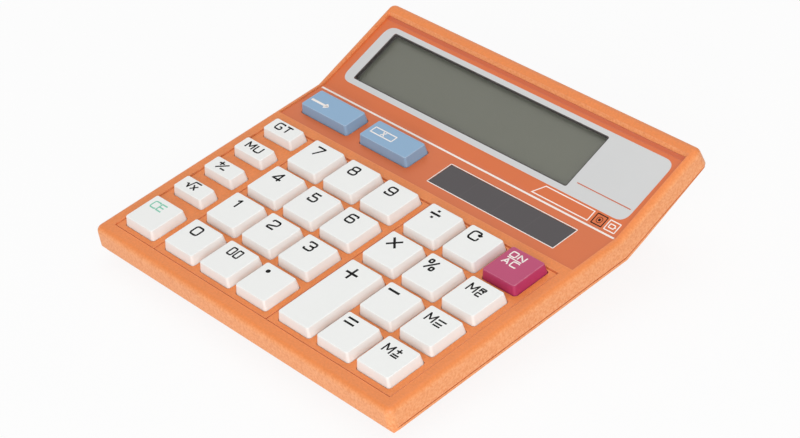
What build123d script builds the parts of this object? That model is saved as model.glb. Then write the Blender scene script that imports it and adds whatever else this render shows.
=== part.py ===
from build123d import *

import os
from math import cos, pi, radians, sin, tan

# Slopes in degrees
deck_tilt = 6.0
panel_bend_angle = 17.25
rim_extra_angle = 0.9
side_taper = 47.0
rear_lean = 10.0

# Case, measured along the deck (v), up from the tray floor (w) and across (x)
case_half_width = 67.8
deck_front = -38.3
deck_height = 16.0
rim_bend = 54.0
rim_height = 0.4
rim_rear = 37.7
skirt_depth = 7.0
edge_radius = 2.0
corner_radius = 2.3
upper_wall = 1.8
deck_underside = -1.8

# Shallow tray around the keys, with a fine groove along its border and between the key groups
tray_left, tray_right = -63.1, 63.5
tray_front, tray_back = -33.7, 32.5
groove_places = (-43.6, 9.5)
groove_width = 0.45
groove_depth = 0.6

# Printed panel that runs from the deck up the display slope
panel_half_width = 65.6
panel_front = 35.9
panel_bend = 55.0
panel_rear = 32.3
panel_thickness = 1.0
panel_gap = 0.1
rear_lip_run = 1.3
rear_lip_rise = 2.0
display_underside = -2.4
window_x = (-57.9, 38.3)
window_s = (6.6, 27.5)
window_corner = 0.8

# Keys
column_places = (-34.0, -17.0, 0.0, 19.5, 36.5, 53.5)
left_column = -53.5
row_pitch = 16.34
key_top = (13.03, 12.74)
small_top = (13.09, 6.13)
bar_top = (21.2, 8.76)
small_first = -8.86
small_pitch = 12.26
bar_places = (-49.2, -21.2)
bar_row = 45.19
key_height = 3.3
key_flare = 0.45
key_corner = 0.7
key_edge = 0.25
crisp_edge = 0.18
key_wall = 1.3
key_roof = 1.4
hole_gap = 0.25
flange_reach = 0.6
flange_top = -1.9
flange_thickness = 1.0
stem_radius = 2.2
stem_end = -3.05

# Switch mat and main board under the deck
mat_base = 0.6
dome_top = -3.1
dome_radii = (3.2, 2.4)
mat_front, mat_back = -33.0, 33.0
mat_half_width = 61.5
bar_mat_x = (-62.0, -8.0)
bar_mat_v = (32.0, 51.0)
board_top = -5.4
board_thickness = 1.2
board_half_width = 62.0
board_front, board_back = -34.0, 51.5
blob_radius = 6.0
blob_height = 1.4
blob_place = (8.0, 38.0)

# Solar cell and its two leads
solar_x = (0.16, 53.5)
solar_v = (40.0, 49.9)
solar_set_back = 0.1
lead_radius = 0.4
solar_lead_places = (4.0, 49.6)

# Liquid crystal cell, its foam gasket, holder and flat cable
lcd_margin = 1.7
lcd_front = -1.75
lcd_thickness = 2.2
lcd_gap = 0.3
holder_wall = 1.9
holder_floor = 0.95
cable_x = (-2.0, 38.0)
cable_thickness = 0.3
cable_landing = 47.5
cable_set_back = 1.0

# Lower case
lower_wall = 1.6
lip_depth_front = 2.2
lip_depth_side = 1.15
lip_depth_rear = 0.4
lip_taper_start = 6.0
lip_inset_front = 1.3
lip_inset_rear = 0.6
parting_gap = 0.35
parting_step = 0.9
foot_height = 1.6
foot_radius = 4.5
foot_sink = 0.4
foot_edge = 0.5
foot_gap = 0.2
front_feet = (54.0, -51.0)
rear_feet = (35.0, 34.5)

# Battery compartment, one AA cell, its contacts and the sliding door
cell_radius = 7.1
cell_length = 49.2
cell_edge = 0.5
nub_radius = 2.7
nub_length = 1.0
compartment_half_length = 29.2
compartment_y = (42.6, 57.6)
compartment_wall = 1.3
cell_gap = 0.3
contact_thickness = 0.5
contact_size = (9.0, 11.0)
contact_cup_radius = 3.5
contact_tab_reach = 1.0
door_half_width = 31.0
door_front = 40.6
door_gap = 0.25
door_rail = 1.2
door_rail_height = 0.5
door_grip_count = 6
door_grip_pitch = 2.0
door_grip_first = 3.0
door_grip_radius = 0.5
wire_radius = 0.6
wire_bend = 1.5
wire_gap = 0.3
wire_height = 11.0
wire_end_y = 21.0
wire_offset = 26.5

# Fasteners: case screws stand upright, board screws stand square to the deck
case_screw_places = ((-43.65, -24.5), (9.75, -24.5), (-43.0, 53.8), (43.0, 53.8))
case_boss_radii = (1.75, 1.75, 2.6, 2.6)
case_seats = (3.4, 3.4, 8.8, 8.8)
seat_floor = 1.2
screw_radius = 0.85
screw_length = 5.6
screw_head_radius = 1.7
screw_head_height = 1.4
screw_slot = 0.45
screw_slot_share = 1.4
head_gap = 0.25
post_wall = 1.0
board_screw_columns = (-43.65, 9.75)
board_screw_rows = (-12.0, 20.0)
board_screw_rear = (30.0, 36.0)
board_boss_radius = 1.6
board_screw_radius = 0.55
board_screw_length = 4.0
board_head_radius = 1.4
board_head_height = 0.9
board_hole_gap = 0.25
boss_sink = 0.4

# Reach of cutting blocks, and how far a cut runs past its surface
far = 200.0
deep = 50.0
tall = 20.0
overcut = 1.0

# Frames: the deck, the rim planes in front of and behind the bend, and the panel's display slope
display_rim_tilt = deck_tilt + panel_bend_angle + rim_extra_angle
bend_turn = panel_bend_angle + rim_extra_angle


def turned(angle, along, up):
    """Return the (y, z) offset of a point given along and up a slope of this angle."""
    a = radians(angle)
    return (along * cos(a) - up * sin(a), along * sin(a) + up * cos(a))


front_reach = turned(deck_tilt, deck_front + edge_radius, rim_height - edge_radius)[0] - edge_radius
bend_reach = turned(deck_tilt, rim_bend, rim_height)[0]
rear_reach = bend_reach + turned(display_rim_tilt, rim_rear, -skirt_depth)[0]
deck_y = -(front_reach + rear_reach) / 2

deck = Location((0, deck_y, deck_height), (deck_tilt, 0, 0))
front_rim = deck * Location((0, rim_bend, rim_height))
rear_rim = front_rim * Location((0, 0, 0), (bend_turn, 0, 0))
mitre = front_rim * Location((0, 0, 0), (bend_turn / 2, 0, 0))
panel_slope = deck * Location((0, panel_bend, 0), (panel_bend_angle, 0, 0))


def on_deck(v, w):
    """Return world (y, z) of a point on the deck frame."""
    y, z = turned(deck_tilt, v, w)
    return (deck_y + y, deck_height + z)


def on_panel(s, w):
    """Return world (y, z) of a point on the display slope of the panel."""
    y, z = turned(deck_tilt + panel_bend_angle, s, w)
    bend_y, bend_z = on_deck(panel_bend, 0)
    return (bend_y + y, bend_z + z)


def span(x, y, z):
    """Return a box from three (low, high) pairs."""
    size = [b - a for a, b in (x, y, z)]
    middle = [(a + b) / 2 for a, b in (x, y, z)]
    return Pos(*middle) * Box(*size)


def side_prism(points, half_width):
    """Extrude a closed outline of (y, z) points to both sides."""
    return extrude(Plane.YZ * make_face(Polyline(*points, close=True)), amount=half_width, both=True)


def rounded_prism(size, corner, low, high):
    """Return a rounded rectangle standing from one height to another."""
    return extrude(Pos(0, 0, low) * RectangleRounded(*size, corner), amount=high - low)


def before_mitre(body):
    """Keep what lies in front of the bend."""
    return body & (mitre * span((-far, far), (-far, 0), (-far, far)))


def behind_mitre(body):
    """Keep what lies behind the bend."""
    return body & (mitre * span((-far, far), (0, far), (-far, far)))


def upright_edges_at(block, y):
    """Return the upright edges of a block at one end."""
    return [e for e in block.edges().filter_by(Axis.Z) if abs(e.center().Y - y) < corner_radius / 2]


# Upper case
def shell_block(low_v, high_v, corner_v):
    """Return a slab under the rim plane with rounded corners at one end and a rounded top edge."""
    block = span((-case_half_width, case_half_width), (low_v, high_v), (-skirt_depth, 0))
    block = fillet(upright_edges_at(block, corner_v), corner_radius)
    middle = (low_v + high_v) / 2
    open_end = high_v if corner_v < middle else low_v
    top = block.faces().sort_by(Axis.Z)[-1]
    rounded = [e for e in top.edges() if abs(e.center().Y - open_end) > edge_radius / 2]
    return fillet(rounded, edge_radius)


def panel_recess():
    """Return the space that the printed panel drops into, open above."""
    turn_in = panel_thickness * tan(radians(panel_bend_angle / 2))
    points = [
        on_deck(panel_front - panel_gap, -panel_thickness),
        on_deck(panel_bend + turn_in, -panel_thickness),
        on_panel(panel_rear + panel_gap, -panel_thickness),
        on_panel(panel_rear + panel_gap, 0),
        on_panel(panel_rear + panel_gap + rear_lip_run, rear_lip_rise),
        on_panel(0, tall),
        on_deck(panel_front - panel_gap, tall),
    ]
    return side_prism(points, panel_half_width + panel_gap)


def case_cavity():
    """Return the hollow under the deck and under the display slope."""
    half = case_half_width - upper_wall
    reach = rim_rear - upper_wall - (panel_bend - rim_bend)
    under_deck = span((-half, half), (deck_front + upper_wall, panel_bend), (-deep, deck_underside))
    under_display = span((-half, half), (-tall, reach), (-deep, display_underside))
    return deck * under_deck + panel_slope * under_display


def upright_boss(x, v, radius, low, high_w):
    """Return an upright cylinder from a height to just inside the deck plate."""
    y, z = on_deck(v, high_w)
    return Pos(x, y, low) * Cylinder(radius, z - low, align=(Align.CENTER, Align.CENTER, Align.MIN))


def board_screw_places():
    """Return where the board screws stand: a grid between the key groups and a pair behind it."""
    grid = [(x, v) for x in board_screw_columns for v in board_screw_rows]
    x, v = board_screw_rear
    return grid + [(-x, v), (x, v)]


def deck_cylinder(x, v, radius, low, high):
    """Return a cylinder square to the deck."""
    stand = Pos(x, v, low) * Cylinder(radius, high - low, align=(Align.CENTER, Align.CENTER, Align.MIN))
    return deck * stand


def make_top_case(keys):
    """Return the upper case with its trays, openings and screw bosses."""
    front = before_mitre(front_rim * shell_block(deck_front - rim_bend, tall, deck_front - rim_bend))
    rear = behind_mitre(rear_rim * shell_block(-tall, rim_rear, rim_rear))
    case = front + rear - case_cavity() - panel_recess()
    boss_top = deck_underside + boss_sink
    for (x, v), radius, seat in zip(case_screw_places, case_boss_radii, case_seats):
        case += upright_boss(x, v, radius, seat + seat_floor, boss_top)
        y, _ = on_deck(v, 0)
        case -= Pos(x, y, seat + screw_length / 2) * Cylinder(screw_radius, screw_length)
    screw_end = board_top - board_thickness + board_screw_length
    for x, v in board_screw_places():
        case += deck_cylinder(x, v, board_boss_radius, board_top, boss_top)
        case -= deck_cylinder(x, v, board_screw_radius, board_top, screw_end)
    tray_x, tray_v = (tray_left, tray_right), (tray_front, tray_back)
    case -= deck * span(tray_x, tray_v, (0, tall))
    inner = [(low + groove_width, high - groove_width) for low, high in (tray_x, tray_v)]
    groove_z = (-groove_depth, tall)
    case -= deck * (span(tray_x, tray_v, groove_z) - span(*inner, groove_z))
    for x in groove_places:
        case -= deck * span((x - groove_width / 2, x + groove_width / 2), tray_v, groove_z)
    for key in keys:
        case -= deck * Pos(key["x"], key["v"], 0) * key_hole(key["top"])
    for x in solar_lead_places:
        case -= deck_cylinder(x, sum(solar_v) / 2, 2 * lead_radius, deck_underside - overcut, 0)
    opening = [(a - lcd_margin - lcd_gap, b + lcd_margin + lcd_gap) for a, b in (window_x, window_s)]
    return case - panel_slope * span(*opening, (display_underside - overcut, 0))


# Keys
def key_list():
    """Return each key's name, place, top size and edge radius."""
    rows = (
        ("key_0", "key_00", "key_dot", None, "key_equals", "key_m_plus"),
        ("key_1", "key_2", "key_3", None, "key_minus", "key_m_minus"),
        ("key_4", "key_5", "key_6", "key_times", "key_percent", "key_m_recall"),
        ("key_7", "key_8", "key_9", "key_divide", "key_replay", "key_on"),
    )
    keys = []

    def add(name, x, v, top, edge=key_edge):
        keys.append({"name": name, "x": x, "v": v, "top": top, "edge": edge})

    for r, names in enumerate(rows):
        for name, x in zip(names, column_places):
            if name:
                add(name, x, (r - 1.5) * row_pitch, key_top, crisp_edge if name == "key_on" else key_edge)
    add("key_plus", column_places[3], -row_pitch, (key_top[0], key_top[1] + row_pitch))
    add("key_ce", left_column, -1.5 * row_pitch, key_top)
    for i, name in enumerate(("key_sqrt", "key_sign", "key_mu", "key_gt")):
        add(name, left_column, small_first + i * small_pitch, small_top)
    for name, x in zip(("key_check", "key_correct"), bar_places):
        add(name, x, bar_row, bar_top, crisp_edge)
    return keys


def key_foot(top, grow=0.0):
    """Return the size of a key at the tray floor, grown on every side."""
    return tuple(side + 2 * (key_flare + grow) for side in top)


def key_hole(top):
    """Return the opening in the deck for a key."""
    corner = key_corner + key_flare
    return rounded_prism(key_foot(top, hole_gap), corner, deck_underside - overcut, tall)


def dome_places(key):
    """Return where a key's domes stand: two under a long key, one under the rest."""
    width, depth = key["top"]
    if depth > 2 * key_top[1]:
        return [(0, -row_pitch / 2), (0, row_pitch / 2)]
    if width > 1.5 * key_top[0]:
        return [(-width / 4, 0), (width / 4, 0)]
    return [(0, 0)]


def make_key(key):
    """Return a hollow key cap with a flared side, a retaining flange and stems over its domes."""
    top, edge = key["top"], key["edge"]
    foot = Pos(0, 0, 0) * RectangleRounded(*key_foot(top), key_corner + key_flare / 2)
    crown = Pos(0, 0, key_height) * RectangleRounded(*top, key_corner)
    cap = loft([foot, crown], ruled=True)
    cap = fillet(cap.faces().sort_by(Axis.Z)[-1].edges(), edge)
    flange_low = flange_top - flange_thickness
    cap += rounded_prism(key_foot(top), key_corner + key_flare / 2, flange_top, 0)
    cap += rounded_prism(key_foot(top, hole_gap + flange_reach), key_corner, flange_low, flange_top)
    hollow = [side - 2 * key_wall for side in top]
    cap -= rounded_prism(hollow, key_corner / 2, flange_low, key_height - key_roof)
    for x, v in dome_places(key):
        rise = key_height - key_roof - stem_end
        cap += Pos(x, v, stem_end + rise / 2) * Cylinder(stem_radius, rise)
    return deck * Pos(key["x"], key["v"], 0) * cap


# Switch mat, main board and what sits on it
def clear_of_bosses(sheet, screw_room):
    """Cut room in a sheet under the deck for the case bosses and holes for the board screws."""
    for (x, v), radius in zip(case_screw_places, case_boss_radii):
        y, _ = on_deck(v, 0)
        sheet -= Pos(x, y, deck_height) * Cylinder(radius + board_hole_gap, far)
    for x, v in board_screw_places():
        sheet -= deck_cylinder(x, v, screw_room, board_top - 2 * board_thickness, deck_underside)
    return sheet


def make_dome_mat(keys):
    """Return the rubber switch mat with a dome under every key stem."""
    sheet_z = (board_top, board_top + mat_base)
    mat = span((-mat_half_width, mat_half_width), (mat_front, mat_back), sheet_z)
    mat += span(bar_mat_x, bar_mat_v, sheet_z)
    base = board_top + mat_base
    dome = Cone(*dome_radii, dome_top - base, align=(Align.CENTER, Align.CENTER, Align.MIN))
    for key in keys:
        for x, v in dome_places(key):
            mat += Pos(key["x"] + x, key["v"] + v, base) * dome
    return clear_of_bosses(deck * mat, board_boss_radius + board_hole_gap)


def make_main_board():
    """Return the circuit board that the mat lies on."""
    low = board_top - board_thickness
    board = deck * span((-board_half_width, board_half_width), (board_front, board_back), (low, board_top))
    return clear_of_bosses(board, board_screw_radius + board_hole_gap)


def make_chip_blob():
    """Return the hard drop of resin over the bare chip, under the board."""
    sphere_radius = (blob_radius ** 2 + blob_height ** 2) / (2 * blob_height)
    under = board_top - board_thickness
    ball = Pos(0, 0, under + sphere_radius - blob_height) * Sphere(sphere_radius)
    ball &= span((-far, far), (-far, far), (-far, under))
    return deck * Pos(*blob_place, 0) * ball


# Panel, window, solar cell and display
def make_display_panel(keys):
    """Return the bent printed panel with its key, solar and window openings."""
    turn_in = panel_thickness * tan(radians(panel_bend_angle / 2))
    points = [
        on_deck(panel_front, -panel_thickness),
        on_deck(panel_bend + turn_in, -panel_thickness),
        on_panel(panel_rear, -panel_thickness),
        on_panel(panel_rear, 0),
        on_deck(panel_bend, 0),
        on_deck(panel_front, 0),
    ]
    panel = side_prism(points, panel_half_width)
    for key in keys:
        if key["top"] == bar_top:
            panel -= deck * Pos(key["x"], key["v"], 0) * key_hole(bar_top)
    cut = (-panel_thickness - overcut, overcut)
    solar_room = [(low - panel_gap, high + panel_gap) for low, high in (solar_x, solar_v)]
    panel -= deck * span(*solar_room, cut)
    return panel - window_block(*cut)


def window_block(low, high):
    """Return a block of the window's outline between two heights over the display slope."""
    size = (window_x[1] - window_x[0], window_s[1] - window_s[0])
    middle = Pos(sum(window_x) / 2, sum(window_s) / 2, 0)
    return panel_slope * middle * rounded_prism(size, window_corner, low, high)


def make_display_window():
    """Return the clear window over the display."""
    return window_block(-panel_thickness, 0)


def lcd_outline(grow):
    """Return the x and s ranges of the display glass, grown on every side."""
    reach = lcd_margin + grow
    return (window_x[0] - reach, window_x[1] + reach), (window_s[0] - reach, window_s[1] + reach)


def make_lcd_gasket():
    """Return the foam frame between the window and the display glass."""
    ring = panel_slope * span(*lcd_outline(0), (lcd_front, -panel_thickness))
    return ring - window_block(lcd_front - overcut, 0)


def make_lcd_glass():
    """Return the display glass."""
    return panel_slope * span(*lcd_outline(0), (lcd_front - lcd_thickness, lcd_front))


def make_lcd_holder():
    """Return the tray behind the display glass, open in front for the flat cable."""
    seat = lcd_front - lcd_thickness
    outer_x, outer_s = lcd_outline(holder_wall)
    pocket_x, pocket_s = lcd_outline(lcd_gap)
    front = window_s[0] - lcd_margin
    tray = span(outer_x, (front, outer_s[1]), (seat - holder_floor, display_underside))
    tray -= span(pocket_x, (front - overcut, pocket_s[1]), (seat, display_underside + overcut))
    return panel_slope * tray


def make_lcd_cable():
    """Return the flat cable from the front edge of the display glass to the board."""
    half = cable_thickness / 2
    edge = window_s[0] - lcd_margin - half
    seat = lcd_front - lcd_thickness
    line = Polyline(
        on_panel(edge, display_underside - half),
        on_panel(edge, seat),
        on_deck(board_back - cable_set_back, board_top + half),
        on_deck(cable_landing, board_top + half),
    )
    strip = Plane.YZ * trace(line, line_width=cable_thickness)
    return Pos(cable_x[0], 0, 0) * extrude(strip, amount=cable_x[1] - cable_x[0])


def make_solar_cell():
    """Return the glass strip of the solar cell."""
    return deck * span(solar_x, solar_v, (-panel_thickness, -solar_set_back))


def make_solar_leads():
    """Return the two leads from the solar cell down to the board."""
    v = sum(solar_v) / 2
    return [deck_cylinder(x, v, lead_radius, board_top, -panel_thickness) for x in solar_lead_places]


# Lower case
floor_low = foot_height
floor_high = foot_height + lower_wall


def section_outline(inset, depth):
    """Return the section across the lower case: a step under the upper case, the lip and the taper."""
    lean = radians(side_taper)
    lip_x = case_half_width - inset
    pinch = inset * (1 / cos(lean) - 1) / tan(lean)
    lip_end = depth - pinch
    taper = [
        (lip_x, -skirt_depth - lip_end),
        (lip_x - (deep - lip_end) * tan(lean), -skirt_depth - deep),
    ]
    step_x = lip_x - parting_step
    step_low = -skirt_depth - parting_gap
    step = [(step_x, -skirt_depth), (step_x, step_low), (lip_x, step_low)]
    open_top = [(lip_x, overcut - skirt_depth)]
    right = (step if inset == 0 else open_top) + taper
    return right + [(-x, w) for x, w in reversed(right)]


def side_outline(inset):
    """Return the side view of the lower case: front lip, front taper, floor and rear wall."""
    lean = radians(side_taper)
    lip_v = deck_front + lip_inset_front + inset
    lip_w = rim_height - skirt_depth - lip_depth_front + inset * (1 / cos(lean) - 1) / tan(lean)
    floor = floor_low + inset
    lip_y, lip_z = on_deck(lip_v, lip_w)
    slope = radians(90 - side_taper - deck_tilt)
    foot_y = lip_y + (lip_z - floor) / tan(slope)
    parting_y = rear_reach + deck_y - lip_inset_rear
    parting_z = on_deck(rim_bend, rim_height)[1] + turned(display_rim_tilt, rim_rear, -skirt_depth)[1]
    rear = radians(rear_lean)
    shift = inset / cos(rear)
    rear_floor = parting_y - (parting_z - floor) * tan(rear) - shift
    high = parting_z + tall
    rear_high = parting_y + tall * tan(rear) - shift
    above = on_deck(lip_v, overcut)
    front = [above, (lip_y, lip_z), (foot_y, floor)]
    return front + [(rear_floor, floor), (rear_high, high), (above[0], high)]


def round_cornered(bar, end, inset):
    """Trim a bar across the case to an end with two rounded corners."""
    half = case_half_width - inset
    low, high = (end, deep) if end < 0 else (-deep, end)
    block = span((-half, half), (low, high), (-far, 0))
    return bar & fillet(upright_edges_at(block, end), corner_radius - inset)


def across_case(inset, depth):
    """Return the section as an upright face across the case."""
    return Plane.XZ * make_face(Polyline(*section_outline(inset, depth), close=True))


def tub(inset):
    """Return the lower case as a full solid, set in from the outside by a wall."""
    section = across_case(inset, lip_depth_side)
    bar = extrude(section, amount=far / 2, both=True)
    front_end = deck_front - rim_bend + lip_inset_front + inset
    rear_end = rim_rear - lip_inset_rear - inset
    rear_section = Pos(0, rear_end, 0) * across_case(inset, lip_depth_rear)
    rear_bar = loft([Pos(0, lip_taper_start, 0) * section, rear_section], ruled=True)
    rear_bar += bar & span((-far, far), (-far, lip_taper_start), (-far, far))
    body = before_mitre(front_rim * round_cornered(bar, front_end, inset))
    body += behind_mitre(rear_rim * round_cornered(rear_bar, rear_end, inset))
    return body & side_prism(side_outline(inset), far)


def compartment_roof():
    """Return the height of the inside of the battery compartment."""
    return floor_high + 2 * (cell_gap + cell_radius)


def make_bottom_case():
    """Return the lower case with screw posts, foot recesses and the battery compartment."""
    case = tub(0) - tub(lower_wall)
    half = compartment_half_length
    roof = compartment_roof()
    wall = compartment_wall
    outer_y = (compartment_y[0] - wall, compartment_y[1] + wall)
    case += span((-half - wall, half + wall), outer_y, (floor_low, roof + wall))
    for (x, v), seat in zip(case_screw_places, case_seats):
        y, _ = on_deck(v, 0)
        bore = screw_head_radius + head_gap
        top = seat + seat_floor
        case += Pos(x, y, (floor_low + top) / 2) * Cylinder(bore + post_wall, top - floor_low)
        case -= Pos(x, y, seat / 2) * Cylinder(bore, seat)
        case -= Pos(x, y, top) * Cylinder(screw_radius + head_gap, 2 * seat_floor + overcut)
    for x, y in foot_places():
        case -= Pos(x, y, floor_low + foot_sink / 2) * Cylinder(foot_radius + foot_gap, foot_sink)
    case -= span((-half, half), compartment_y, (0, roof))
    case -= door_space()
    wire_hole = Rot(90, 0, 0) * Cylinder(wire_radius + wire_gap, 2 * wall)
    for x in (-wire_offset, wire_offset):
        case -= Pos(x, compartment_y[0] - wall / 2, wire_height) * wire_hole
    return case


def foot_places():
    """Return the centres of the four feet."""
    return [(side * x, y) for x, y in (front_feet, rear_feet) for side in (-1, 1)]


def make_rubber_feet():
    """Return the four round feet."""
    foot = Cylinder(foot_radius, foot_height + foot_sink, align=(Align.CENTER, Align.CENTER, Align.MIN))
    foot = fillet(foot.edges().group_by(Axis.Z)[0], foot_edge)
    return [Pos(x, y, 0) * foot for x, y in foot_places()]


# Battery door, cell and contacts
def door_rear():
    """Return where the floor meets the rear wall."""
    return side_outline(0)[3][0]


def door_plate(gap):
    """Return the door, or with a gap the space that it slides in."""
    half = door_half_width + gap
    rail_z = (floor_low + floor_high) / 2
    rail_half = door_rail_height / 2 + gap / 2
    back = door_rear() if gap == 0 else far
    low = floor_low if gap == 0 else 0
    front = door_front - gap
    rail_x = half + door_rail
    plate = span((-half, half), (front, back), (low, floor_high + gap / 2))
    return plate + span((-rail_x, rail_x), (front, back), (rail_z - rail_half, rail_z + rail_half))


def door_space():
    """Return the opening in the floor and the rear wall for the door and its rails."""
    return door_plate(door_gap)


def make_battery_door():
    """Return the sliding door with finger ridges cut across its outside."""
    door = door_plate(0)
    for i in range(door_grip_count):
        y = door_front + door_grip_first + i * door_grip_pitch
        door -= Pos(0, y, floor_low) * Rot(0, 90, 0) * Cylinder(door_grip_radius, door_half_width)
    return door


def cell_axis():
    """Return the (y, z) of the battery's axis."""
    return sum(compartment_y) / 2, floor_high + cell_gap + cell_radius


def lying(radius, low, high):
    """Return a cylinder along the battery's axis between two x values."""
    y, z = cell_axis()
    return Pos((low + high) / 2, y, z) * Rot(0, 90, 0) * Cylinder(radius, high - low)


def make_battery_cell():
    """Return the AA cell with its positive nub."""
    half = (cell_length + nub_length) / 2
    can = lying(cell_radius, -half, half - nub_length)
    return fillet(can.edges(), cell_edge) + lying(nub_radius, half - nub_length, half)


def make_battery_contact(side):
    """Return a contact: a plate on the compartment's end wall with a pressed cup towards the cell."""
    y, z = cell_axis()
    end = compartment_half_length
    half = (cell_length + nub_length) / 2
    plate_y = (y - contact_size[0] / 2, y + contact_size[0] / 2)
    plate_z = (z - contact_size[1] / 2, z + contact_size[1] / 2)
    plate = span((end - contact_thickness, end), plate_y, plate_z)
    cup = lying(contact_cup_radius, half, end - contact_thickness)
    tab_y = (compartment_y[0], compartment_y[0] + contact_thickness)
    tab = span((wire_offset - contact_tab_reach, end), tab_y, plate_z)
    link = span((end - contact_thickness, end), (compartment_y[0], plate_y[0]), plate_z)
    contact = plate + cup + link + tab
    return contact if side > 0 else mirror(contact, Plane.YZ)


def make_battery_leads():
    """Return the two leads from the contacts, through the compartment wall, up to the board."""
    leads = []
    start = compartment_y[0]
    board_y, board_z = on_deck(0, board_top - board_thickness)
    end_z = board_z + (wire_end_y - board_y) * tan(radians(deck_tilt)) - wire_radius / 4
    for x in (-wire_offset, wire_offset):
        corner = (x, wire_end_y, wire_height)
        route = FilletPolyline((x, start, wire_height), corner, (x, wire_end_y, end_z), radius=wire_bend)
        lead = sweep(Plane((x, start, wire_height), z_dir=(0, -1, 0)) * Circle(wire_radius), path=route)
        print("battery lead", round(lead.volume / (pi * wire_radius ** 2 * route.length), 4))
        leads.append(lead)
    return leads


# Fasteners
def screw(radius, length, head_radius, head_height):
    """Return a slotted screw that points up, seated at height zero."""
    shank = Pos(0, 0, length / 2) * Cylinder(radius, length)
    head = Pos(0, 0, -head_height / 2) * Cylinder(head_radius, head_height)
    head = fillet(head.edges().group_by(Axis.Z)[0], head_height / 4)
    for turn in (0, 90):
        slot = Rot(0, 0, turn) * Box(screw_slot_share * head_radius, screw_slot, head_height)
        head -= Pos(0, 0, -head_height) * slot
    return shank + head


def make_case_screws():
    """Return the screws that hold the two halves of the case together."""
    one = screw(screw_radius, screw_length, screw_head_radius, screw_head_height)
    return [Pos(x, on_deck(v, 0)[0], seat) * one for (x, v), seat in zip(case_screw_places, case_seats)]


def make_board_screws():
    """Return the screws that hold the board under the deck."""
    one = screw(board_screw_radius, board_screw_length, board_head_radius, board_head_height)
    return [deck * Pos(x, v, board_top - board_thickness) * one for x, v in board_screw_places()]


def save(name, shape):
    """Write one node as a STEP file; a list becomes a group of separate solids."""
    body = Compound(children=shape) if isinstance(shape, list) else shape
    body.label = name
    export_step(body, f"parts/{name}.step")


def main():
    os.makedirs("parts", exist_ok=True)
    keys = key_list()
    nodes = {
        "top_case": make_top_case(keys),
        "bottom_case": make_bottom_case(),
        "display_panel": make_display_panel(keys),
        "display_window": make_display_window(),
        "lcd_gasket": make_lcd_gasket(),
        "lcd_glass": make_lcd_glass(),
        "lcd_holder": make_lcd_holder(),
        "lcd_cable": make_lcd_cable(),
        "solar_cell": make_solar_cell(),
        "solar_leads": make_solar_leads(),
        "dome_mat": make_dome_mat(keys),
        "main_board": make_main_board(),
        "chip_blob": make_chip_blob(),
        "battery_cell": make_battery_cell(),
        "battery_contact_plus": make_battery_contact(1),
        "battery_contact_minus": make_battery_contact(-1),
        "battery_leads": make_battery_leads(),
        "battery_door": make_battery_door(),
        "case_screws": make_case_screws(),
        "board_screws": make_board_screws(),
        "rubber_feet": make_rubber_feet(),
    }
    for key in keys:
        nodes[key["name"]] = make_key(key)
    for name, shape in nodes.items():
        save(name, shape)


main()
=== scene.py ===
"""Dresses the desk calculator: finishes, legends, panel print, studio and camera."""
import logging
import math
from dataclasses import dataclass, field
from enum import Enum
from typing import Callable, Dict, List, Optional, Sequence, Tuple

import bmesh
import bpy
from mathutils import Color, Matrix, Vector


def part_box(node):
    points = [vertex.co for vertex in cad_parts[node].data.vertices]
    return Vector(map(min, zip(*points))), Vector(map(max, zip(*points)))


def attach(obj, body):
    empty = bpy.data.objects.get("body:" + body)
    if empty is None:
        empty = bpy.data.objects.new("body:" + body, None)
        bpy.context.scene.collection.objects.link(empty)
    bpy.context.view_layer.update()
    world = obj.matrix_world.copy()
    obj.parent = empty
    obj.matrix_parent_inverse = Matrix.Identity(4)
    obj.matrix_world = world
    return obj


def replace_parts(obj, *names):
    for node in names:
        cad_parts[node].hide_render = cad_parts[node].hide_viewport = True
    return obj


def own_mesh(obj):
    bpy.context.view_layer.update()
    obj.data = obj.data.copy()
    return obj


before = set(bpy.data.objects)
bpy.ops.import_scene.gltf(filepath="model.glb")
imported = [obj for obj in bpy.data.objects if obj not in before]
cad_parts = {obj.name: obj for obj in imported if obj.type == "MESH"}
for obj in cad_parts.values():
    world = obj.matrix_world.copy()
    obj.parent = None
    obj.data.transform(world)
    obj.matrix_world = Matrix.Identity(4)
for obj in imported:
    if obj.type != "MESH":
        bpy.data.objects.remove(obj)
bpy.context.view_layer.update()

log = logging.getLogger("calculator")

Point = Tuple[float, float]
Loop = List[Point]
Colour = Tuple[float, float, float]
Place = Callable[[float, float, float], Vector]
Vert = bmesh.types.BMVert
Tree = bpy.types.NodeTree
Node = bpy.types.Node
Socket = bpy.types.NodeSocket

MM = 0.001
CASE = "case"

# Full value of a written colour channel, and side of the square for a sign's path.
FULL_CHANNEL = 255
PATH_SQUARE = 100

# Span of the solar strip across the deck, in millimetres.
SOLAR_X: Point = (0.16, 53.5)

# Sockets of a colour mix node.
MIX_FACTOR = 0
MIX_LOW = 6
MIX_HIGH = 7
MIX_RESULT = 2

# Limits in drawing lines: half the angle of a corner that counts as straight, in radians, the
# shortest round and run, in millimetres, and how far a stroke widens across a sharp corner.
STRAIGHT_HALF = 1.5
LEAST_ROUND = 1e-4
LEAST_RUN = 1e-6
LEAST_MITRE = 0.35


def srgb(red: int, green: int, blue: int) -> Colour:
    """Return the linear colour that a shader takes, from one written in 0 to 255."""
    stored = Color([channel / FULL_CHANNEL for channel in (red, green, blue)])
    return tuple(stored.from_srgb_to_scene_linear())


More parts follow.
